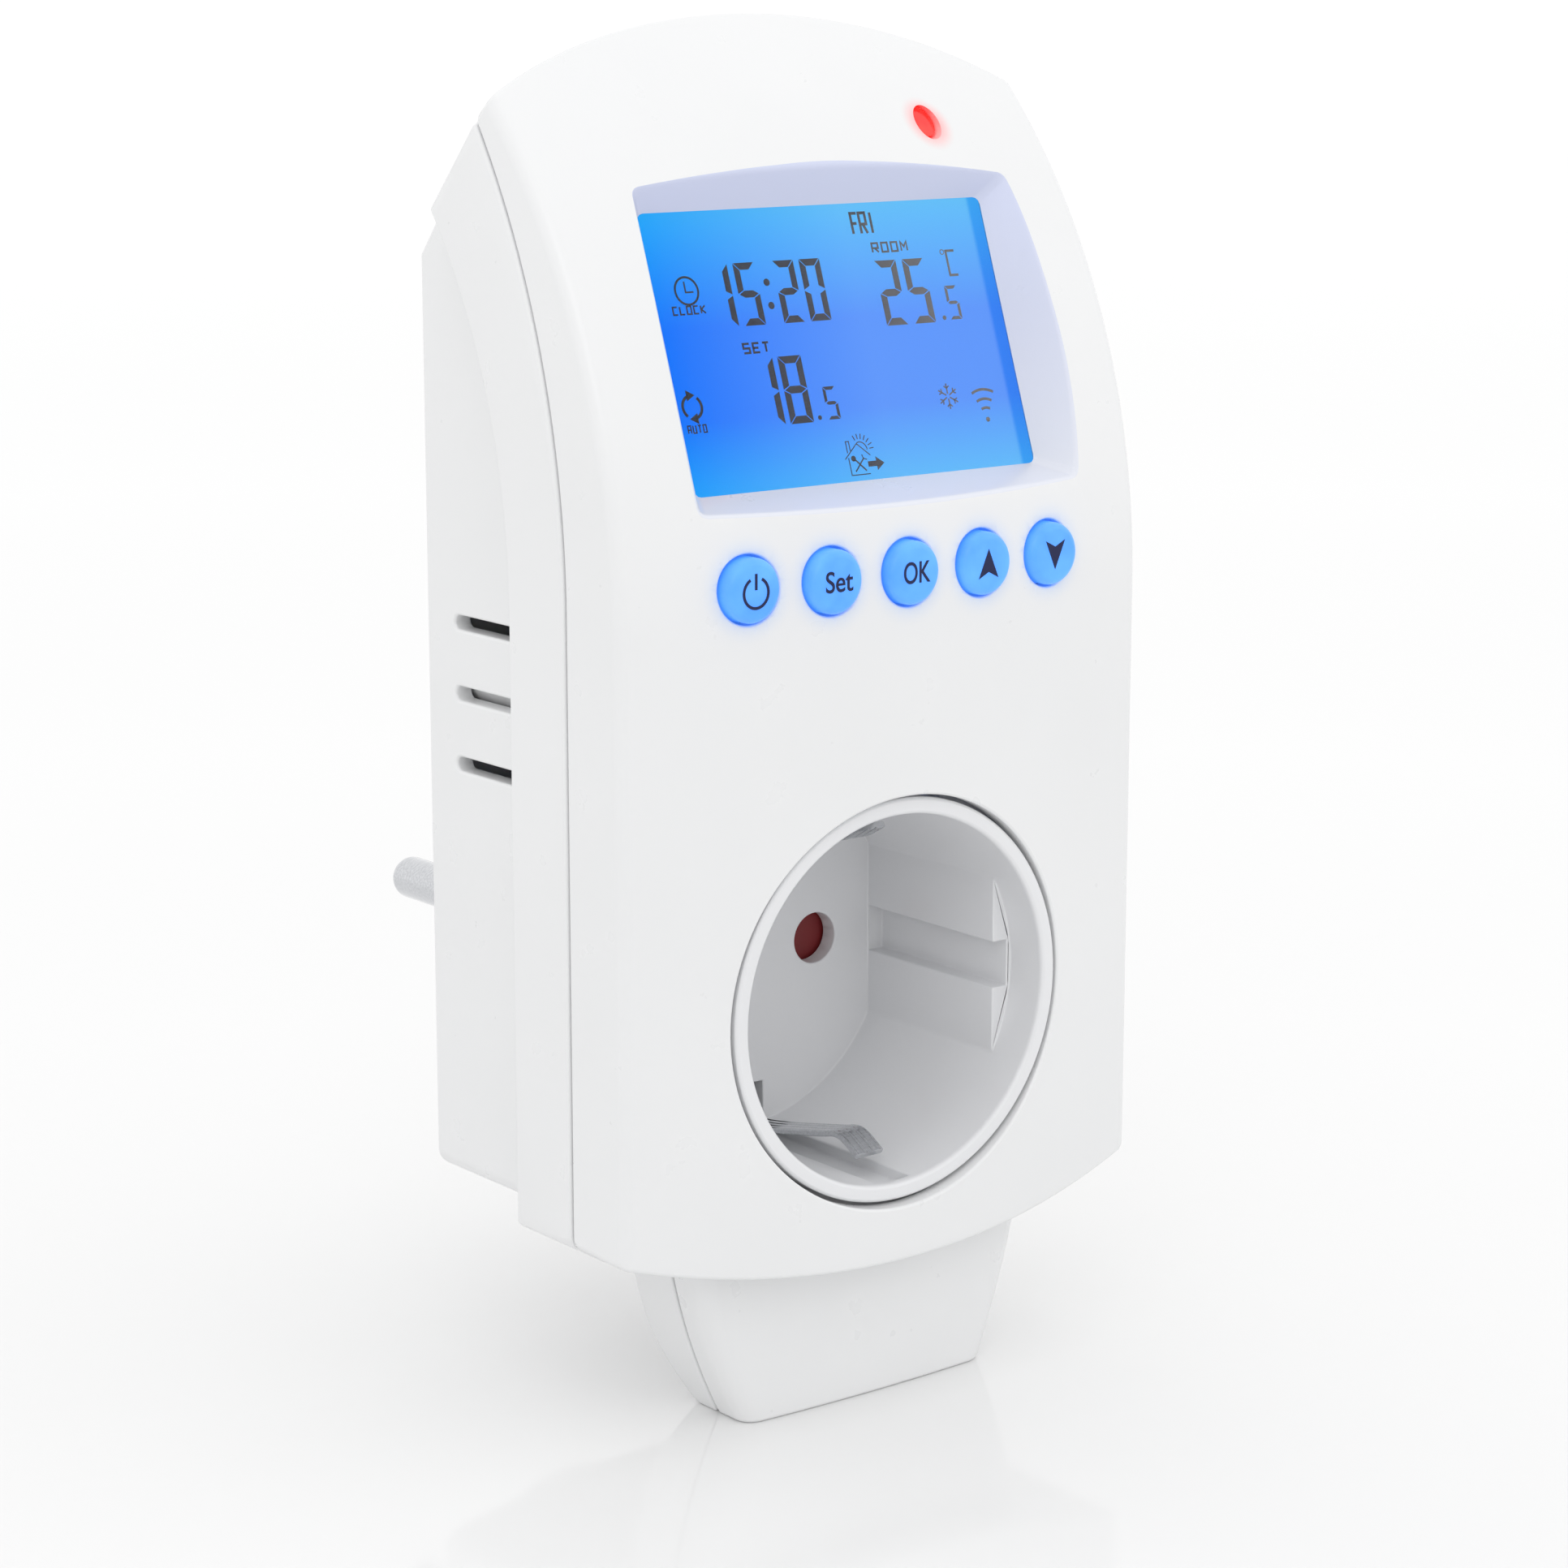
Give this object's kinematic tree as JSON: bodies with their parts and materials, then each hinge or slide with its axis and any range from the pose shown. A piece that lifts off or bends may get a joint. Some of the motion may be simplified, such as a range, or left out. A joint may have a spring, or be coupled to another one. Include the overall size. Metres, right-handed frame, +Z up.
{
  "type": "plug-in heating timer",
  "caption": "Plug-in heating timer and room thermostat: mains socket in front, mains plug behind, backlit display and buttons, and a temperature probe foot.",
  "frame": {"origin": "centre of the plug's engagement face, on the axis of both the plug and the socket", "axes": "+Z up the case, +Y out of the plug side towards the wall, so the display and the socket face -Y"},
  "size_m": [0.069, 0.081, 0.1433],
  "materials": {
    "case_white": "satin moulded plastic",
    "socket_grey": "satin moulded plastic",
    "inner_plastic": "matt moulded plastic",
    "shutter_red": "dark red moulded plastic",
    "nickel": "nickel plated",
    "brass": "pressed brass",
    "steel": "plain steel",
    "board_green": "solder mask on glass fibre board",
    "chip_black": "moulded epoxy",
    "relay_blue": "moulded plastic",
    "capacitor_yellow": "boxed film capacitor",
    "can_blue": "sleeved aluminium can",
    "live_brown": "brown lead insulation",
    "neutral_blue": "blue lead insulation",
    "lead_grey": "grey lead insulation",
    "clear_window": "clear glossy window",
    "lcd_blue": "backlit blue display",
    "light_guide": "milky light guide",
    "button_blue": "translucent blue rubbery plastic",
    "led_red": "red lens, lit",
    "rubber": "conductive rubber strip"
  },
  "bodies": {
    "case": {"front_cover": "case_white", "rear_cover": "case_white", "case_screw_1": "steel", "case_screw_2": "steel", "case_screw_3": "steel", "case_screw_4": "steel", "socket_insert": "socket_grey", "shutter_spring": "steel", "shutter_carrier": "inner_plastic", "live_contact": "brass", "neutral_contact": "brass", "earth_bridge": "brass", "plug_body": "case_white", "live_pin": "nickel", "neutral_pin": "nickel", "plug_earth_strip_top": "nickel", "plug_earth_strip_bottom": "nickel", "neutral_link": "brass", "live_lead_in": "live_brown", "live_lead_out": "live_brown", "neutral_lead": "neutral_blue", "power_board": "board_green", "relay": "relay_blue", "dropper_capacitor": "capacitor_yellow", "smoothing_capacitor": "can_blue", "fuse": "live_brown", "varistor": "neutral_blue", "board_lead": "lead_grey", "display_window": "clear_window", "lcd_glass": "lcd_blue", "display_backlight": "light_guide", "lcd_connector": "rubber", "display_frame": "inner_plastic", "display_board": "board_green", "microcontroller": "chip_black", "backup_battery": "nickel", "status_led": "led_red", "button_board": "board_green", "switch_power": "steel", "switch_set": "steel", "switch_ok": "steel", "switch_up": "steel", "switch_down": "steel", "button_board_lead": "lead_grey", "temperature_sensor": "chip_black", "sensor_lead": "lead_grey"},
    "button_power": {"button_power": "button_blue", "plunger_power": "chip_black"},
    "button_set": {"button_set": "button_blue", "plunger_set": "chip_black"},
    "button_ok": {"button_ok": "button_blue", "plunger_ok": "chip_black"},
    "button_up": {"button_up": "button_blue", "plunger_up": "chip_black"},
    "button_down": {"button_down": "button_blue", "plunger_down": "chip_black"},
    "shutter": {"safety_shutter": "shutter_red"},
    "clip_top": {"earth_clip_top": "nickel"},
    "clip_bottom": {"earth_clip_bottom": "nickel"}
  },
  "joints": [
    {"name": "press_power", "type": "slide", "parent": "case", "child": "button_power", "axis": [0, 1, 0], "range_m": [0, 0.0005], "stiffness_N_per_m": 800},
    {"name": "press_set", "type": "slide", "parent": "case", "child": "button_set", "axis": [0, 1, 0], "range_m": [0, 0.0005], "stiffness_N_per_m": 800},
    {"name": "press_ok", "type": "slide", "parent": "case", "child": "button_ok", "axis": [0, 1, 0], "range_m": [0, 0.0005], "stiffness_N_per_m": 800},
    {"name": "press_up", "type": "slide", "parent": "case", "child": "button_up", "axis": [0, 1, 0], "range_m": [0, 0.0005], "stiffness_N_per_m": 800},
    {"name": "press_down", "type": "slide", "parent": "case", "child": "button_down", "axis": [0, 1, 0], "range_m": [0, 0.0005], "stiffness_N_per_m": 800},
    {"name": "shutter_turn", "type": "hinge", "parent": "case", "child": "shutter", "pos_m": [0, -0.0307, 0], "axis": [0, 1, 0], "range_deg": [0, 40], "stiffness_Nm_per_rad": 0.02},
    {"name": "clip_top_flex", "type": "hinge", "parent": "case", "child": "clip_top", "pos_m": [0, -0.024, 0.019], "axis": [-1, 0, 0], "range_deg": [0, 4], "stiffness_Nm_per_rad": 1.2},
    {"name": "clip_bottom_flex", "type": "hinge", "parent": "case", "child": "clip_bottom", "pos_m": [0, -0.024, -0.019], "axis": [1, 0, 0], "range_deg": [0, 4], "stiffness_Nm_per_rad": 1.2}
  ]
}
